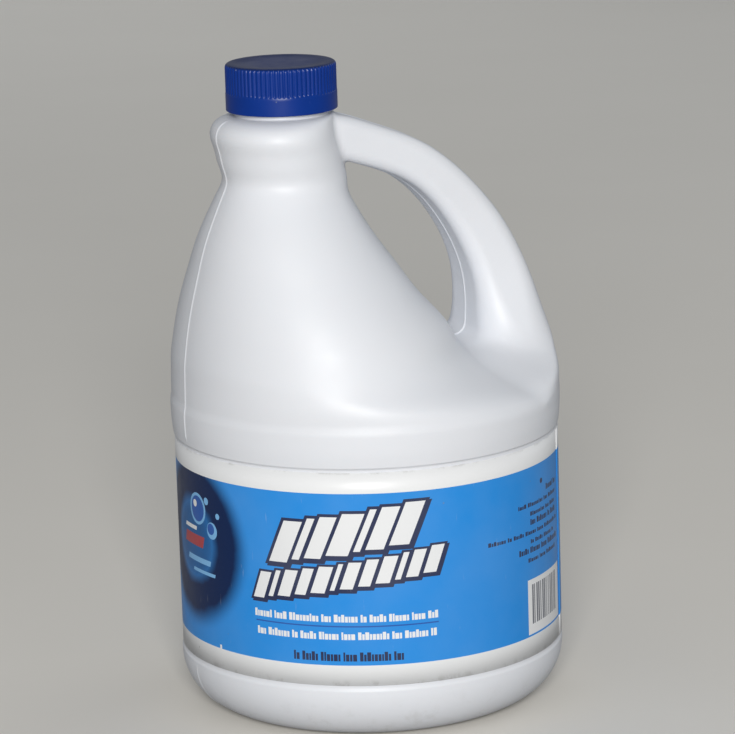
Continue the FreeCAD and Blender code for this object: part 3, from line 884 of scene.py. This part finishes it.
def finish_surface(tree, shader, place, colour, rough, relief, extra=None):
    """Feeds the colour and the shared relief, plus any extra height, into the shader.

    It gives back the roughness: rough, with a little more or less from place to place.
    """
    surface = add_node(tree, "ShaderNodeGroup", {}, node_tree=moulded_surface)
    tree.links.new(place, surface.inputs["Place"])
    for label, value in zip(("Waves", "Peel", "Grain"), relief):
        surface.inputs[label].default_value = value
    height = surface.outputs["Height"]
    if extra is not None:
        height = maths(tree, "ADD", height, extra)
    bump = add_node(tree, "ShaderNodeBump", {"Height": height, "Distance": 1.0, "Strength": 1.0})
    tree.links.new(bump.outputs[0], shader.inputs["Normal"])
    tree.links.new(colour, shader.inputs["Base Color"])
    spread = 0.08
    uneven = maths(tree, "MULTIPLY_ADD", surface.outputs["Unevenness"], spread)
    uneven.node.inputs[2].default_value = rough - spread / 2
    return uneven


def marks(tree, place, *sizes):
    """The shared wear with its own speck scale, speck share and scuff scale."""
    made = add_node(tree, "ShaderNodeGroup", {}, node_tree=handling_marks)
    tree.links.new(place, made.inputs["Place"])
    for label, value in zip(("Speck Scale", "Speck Share", "Scuff Scale"), sizes):
        made.inputs[label].default_value = value
    return made.outputs["Specks"], made.outputs["Scuffs"]


def roughen(tree, shader, rough, scuffs, rise):
    """Feeds the roughness into the shader, raised by rise where the surface is scuffed."""
    raised = maths(tree, "ADD", rough, maths(tree, "MULTIPLY", scuffs, rise))
    tree.links.new(raised, shader.inputs["Roughness"])


def bottle_material():
    """Cool white blown polyethylene: satin, faintly uneven, with dust low on the foot."""
    material, tree, shader, place = new_material("bottle_plastic", IOR=1.5, Subsurface_Weight=0.08,
                                                 Subsurface_Radius=(0.6, 0.8, 1.0), Subsurface_Scale=0.006)
    cool_white, clear_white = (0.79, 0.82, 0.875, 1), (0.815, 0.84, 0.89, 1)
    dust_grey, speck_grey = (0.42, 0.41, 0.39, 1), (0.30, 0.29, 0.29, 1)
    tone = mixed(tree, noise(tree, place, 14.0, 3.0), cool_white, clear_white)
    specks, scuffs = marks(tree, place, 110.0, 0.006, 55.0)
    height = add_node(tree, "ShaderNodeSeparateXYZ", {0: place}).outputs["Z"]
    low = ramp(tree, height, 0.0, 0.024, 1.0, 0.0)
    dust = maths(tree, "MULTIPLY", low, ramp(tree, noise(tree, place, 120.0, 5.0, 0.7), 0.5, 0.72))
    colour = mixed(tree, maths(tree, "MULTIPLY", dust, 0.30), tone, dust_grey)
    colour = mixed(tree, maths(tree, "MULTIPLY", specks, 0.25), colour, speck_grey)
    rough = finish_surface(tree, shader, place, colour, 0.46, (0.00005, 0.0000045, 0.0000008))
    roughen(tree, shader, rough, scuffs, 0.12)
    return material


def cap_material():
    """Royal blue polypropylene: painted shade darkens its dished top, and it is paler along the rubbed ribs.
    """
    material, tree, shader, place = new_material("cap_plastic", IOR=1.49, Specular_IOR_Level=0.32)
    deep_blue, royal_blue = (0.0, 0.026, 0.215, 1), (0.0, 0.034, 0.27, 1)
    # The dark navy is painted shade for the dished top, not a colour of the plastic.
    painted_shade_navy, rubbed_blue, speck_grey = (0.002, 0.010, 0.05, 1), (0.05, 0.10, 0.42, 1), (0.25, 0.27, 0.32, 1)
    tone = mixed(tree, noise(tree, place, 90.0, 3.0), deep_blue, royal_blue)
    specks, scuffs = marks(tree, place, 320.0, 0.05, 160.0)
    height = add_node(tree, "ShaderNodeSeparateXYZ", {0: place}).outputs["Z"]
    # Painted shade: the dished top is mixed three quarters of the way to a dark navy.
    top = ramp(tree, height, (CAP_TOP - 0.9) * MM, (CAP_TOP - 0.2) * MM)
    tone = mixed(tree, maths(tree, "MULTIPLY", top, 0.75), tone, painted_shade_navy)
    tone = mixed(tree, maths(tree, "MULTIPLY", scuffs, 0.35), tone, rubbed_blue)
    colour = mixed(tree, maths(tree, "MULTIPLY", specks, 0.5), tone, speck_grey)
    rough = finish_surface(tree, shader, place, colour, 0.33, (0.00001, 0.000006, 0.0000015))
    roughen(tree, shader, rough, scuffs, 0.2)
    return material


def label_material():
    """Coated paper: inks of the cut shapes, a dark soft glow round the bubbles, rubs, creases and grime."""
    material, tree, shader, place = new_material("label_paper", IOR=1.46, Specular_IOR_Level=0.35,
                                                 Coat_Weight=0.06, Coat_Roughness=0.25)
    faded, glow_navy, rubbed_paper = (0.75, 0.80, 0.86, 1), (0.0, 0.006, 0.055, 1), (0.70, 0.74, 0.78, 1)
    grime_grey, speck_grey = (0.36, 0.35, 0.33, 1), (0.22, 0.22, 0.24, 1)
    ink = add_node(tree, "ShaderNodeAttribute", attribute_name="print", attribute_type="GEOMETRY")
    flat = add_node(tree, "ShaderNodeUVMap", uv_map="flat").outputs[0]
    across, up = add_node(tree, "ShaderNodeSeparateXYZ", {0: flat}).outputs[:2]
    glow = None
    for middle in ROUNDELS:
        dx = maths(tree, "SUBTRACT", across, middle * MM)
        dy = maths(tree, "SUBTRACT", up, GLOW_UP * MM)
        squares = maths(tree, "ADD", maths(tree, "MULTIPLY", dx, dx), maths(tree, "MULTIPLY", dy, dy))
        reach = maths(tree, "SQRT", squares)
        rising = ramp(tree, reach, 0.010, 0.021)
        ring = maths(tree, "MULTIPLY", rising, ramp(tree, reach, 0.026, 0.037, 1.0, 0.0))
        ring = maths(tree, "MAXIMUM", ring, ramp(tree, reach, 0.010, 0.024, 0.55, 0.0))
        glow = ring if glow is None else maths(tree, "MAXIMUM", glow, ring)
    wander = maths(tree, "MULTIPLY_ADD", noise(tree, place, 90.0, 3.0), 0.5)
    wander.node.inputs[2].default_value = 0.85
    shade = maths(tree, "MULTIPLY", maths(tree, "MULTIPLY", glow, ink.outputs["Alpha"]), wander, clamp=True)
    fading = maths(tree, "MULTIPLY", noise(tree, place, 45.0, 4.0), 0.10)
    tone = mixed(tree, fading, ink.outputs["Color"], faded)
    colour = mixed(tree, maths(tree, "MULTIPLY", shade, 0.96), tone, glow_navy)
    specks, scuffs = marks(tree, place, 210.0, 0.045, 70.0)
    colour = mixed(tree, maths(tree, "MULTIPLY", scuffs, 0.30), colour, rubbed_paper)
    low_edge = ramp(tree, up, LABEL_FOOT * MM, (LABEL_FOOT + 3.1) * MM, 1.0, 0.0)
    edge = maths(tree, "MAXIMUM", low_edge, ramp(tree, up, (LABEL_TOP - 1.1) * MM, LABEL_TOP * MM))
    grime = maths(tree, "MULTIPLY", edge, ramp(tree, noise(tree, place, 150.0, 5.0, 0.7), 0.48, 0.66))
    colour = mixed(tree, maths(tree, "MULTIPLY", grime, 0.34), colour, grime_grey)
    colour = mixed(tree, maths(tree, "MULTIPLY", specks, 0.4), colour, speck_grey)
    crease = maths(tree, "MULTIPLY", ramp(tree, noise(tree, place, 22.0, 3.0, 0.45), 0.42, 0.62), 0.00005)
    rough = finish_surface(tree, shader, place, colour, 0.34, (0.00003, 0.000005, 0.0000012), crease)
    roughen(tree, shader, rough, scuffs, 0.2)
    return material


def liner_material():
    """White closed-cell foam: fine pits, no gloss."""
    material, tree, shader, place = new_material("liner_foam", IOR=1.45)
    cells = add_node(tree, "ShaderNodeTexVoronoi", {"Vector": place, "Scale": 2200.0}).outputs["Distance"]
    colour = mixed(tree, cells, (0.80, 0.80, 0.77, 1), (0.88, 0.88, 0.86, 1))
    pits = maths(tree, "MULTIPLY", cells, 0.00004)
    rough = finish_surface(tree, shader, place, colour, 0.75, (0.00001, 0.00001, 0.000004), pits)
    tree.links.new(rough, shader.inputs["Roughness"])
    return material


def floor_material():
    """Plain pale matt ground with hardly any grain, which throws up less light than the camera sees."""
    material, tree, shader, place = new_material("pale_ground", IOR=1.4, Specular_IOR_Level=0.2)
    pale, paler, lighting_grey = (0.83, 0.80, 0.74, 1), (0.86, 0.83, 0.77, 1), (0.42, 0.41, 0.39, 1)
    seen = mixed(tree, noise(tree, place, 6.0, 4.0), pale, paler)
    path = tree.nodes.new("ShaderNodeLightPath")
    colour = mixed(tree, path.outputs["Is Camera Ray"], lighting_grey, seen)
    rough = finish_surface(tree, shader, place, colour, 0.8, (0.0, 0.0, 0.00001))
    tree.links.new(rough, shader.inputs["Roughness"])
    return material


def dress(piece, material):
    """Gives a piece its one material."""
    piece.data.materials.clear()
    piece.data.materials.append(material)


def add_lamp(name, place, aim, size, power, colour):
    """A soft square lamp at a place, looking at a point. Its size is in metres and its power in watts."""
    data = bpy.data.lights.new(name, "AREA")
    data.size, data.energy, data.color = size, power, colour
    lamp = bpy.data.objects.new(name, data)
    lamp.location = place
    lamp.rotation_euler = (Vector(aim) - Vector(place)).to_track_quat("-Z", "Y").to_euler()
    bpy.context.scene.collection.objects.link(lamp)
    return lamp


# The camera that was fitted to the photograph: its place and axes, and focal length and width in pixels.
CAMERA_PLACE = Vector((-604.6, -1359.9, 472.5))
CAMERA_RIGHT = Vector((0.910181, -0.413127, -0.029943))
CAMERA_UP = Vector((0.118609, 0.190687, 0.974459))
CAMERA_AHEAD = Vector((0.396866, 0.890486, -0.222560))
FOCAL_PIXELS = 3842.5
PHOTO_WIDTH = 735


def add_camera():
    """The camera where the photograph was taken from."""
    data = bpy.data.cameras.new("photo_view")
    data.sensor_width = 36.0
    data.lens = data.sensor_width * FOCAL_PIXELS / PHOTO_WIDTH
    data.clip_start, data.clip_end = 0.1, 30
    camera = bpy.data.objects.new("photo_view", data)
    turn = Matrix((CAMERA_RIGHT, CAMERA_UP, -CAMERA_AHEAD)).transposed().to_4x4()
    camera.matrix_world = Matrix.Translation(CAMERA_PLACE * MM) @ turn
    bpy.context.scene.collection.objects.link(camera)
    bpy.context.scene.camera = camera


def add_world():
    """Even pale light from all round, and a pale ground seen behind."""
    world = bpy.data.worlds.new("studio")
    bpy.context.scene.world = world
    world.use_nodes = True
    tree = world.node_tree
    light = tree.nodes["Background"]
    light.inputs["Color"].default_value = (0.93, 0.96, 1.0, 1)
    light.inputs["Strength"].default_value = 0.26
    seen = add_node(tree, "ShaderNodeBackground", {"Color": (0.66, 0.63, 0.57, 1), "Strength": 1.0})
    path = tree.nodes.new("ShaderNodeLightPath")
    choice = add_node(tree, "ShaderNodeMixShader", {0: path.outputs["Is Camera Ray"], 1: light.outputs[0],
                                                    2: seen.outputs[0]})
    tree.links.new(choice.outputs[0], tree.nodes["World Output"].inputs["Surface"])


# The ground, a hair under the bottle.
FLOOR_LEVEL = -0.05
FLOOR_RADIUS = 9000
FLOOR_SIDES = 96


def add_floor():
    """A round level ground, wide enough to fill the view."""
    rim = np.array([(x, y, FLOOR_LEVEL) for x, y in disc(0, 0, FLOOR_RADIUS, FLOOR_SIDES)])
    floor = mesh_piece("ground", rim, [np.arange(FLOOR_SIDES)[None]])
    dress(floor, floor_material())


# Blender's start-up objects, where it has them.
for leftover in [o for o in bpy.data.objects if o.name in ("Cube", "Light", "Camera")]:
    bpy.data.objects.remove(leftover)

add_camera()
add_world()
add_floor()

# Each lamp's place, the point that it looks at, its size, its power and its colour.
add_lamp("key", (-1.05, -2.35, 1.0), (0, 0, 0.13), 0.8, 57, (1.0, 0.985, 0.96))
add_lamp("fill", (2.1, 0.4, 1.3), (0, 0, 0.13), 1.4, 5, (0.90, 0.95, 1.0))
back_lamp = add_lamp("back", (0.5, 2.4, 1.2), (0, 0, 0.13), 1.4, 5, (0.94, 0.97, 1.0))
# The cap's flat top would mirror this lamp into the photograph's view.
back_lamp.visible_glossy = False

points, faces = bottle_skin()
bottle = mesh_piece("bottle_skin", points, faces)
# The outside's points come first, and faces[0] is the outside.
smooth_normals(bottle, bottle_field, faces[0].max() + 1)
dress(bottle, bottle_material())
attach(bottle, "bottle")
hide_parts("bottle")

label = label_piece()
dress(label, label_material())
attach(label, "bottle")
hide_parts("label")

cap = turned_piece("cap_shell", cap_points())
dress(cap, cap_material())
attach(cap, "cap")
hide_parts("cap")

dress(frame["nodes"]["liner"], liner_material())

bpy.context.scene.view_settings.view_transform = "Standard"
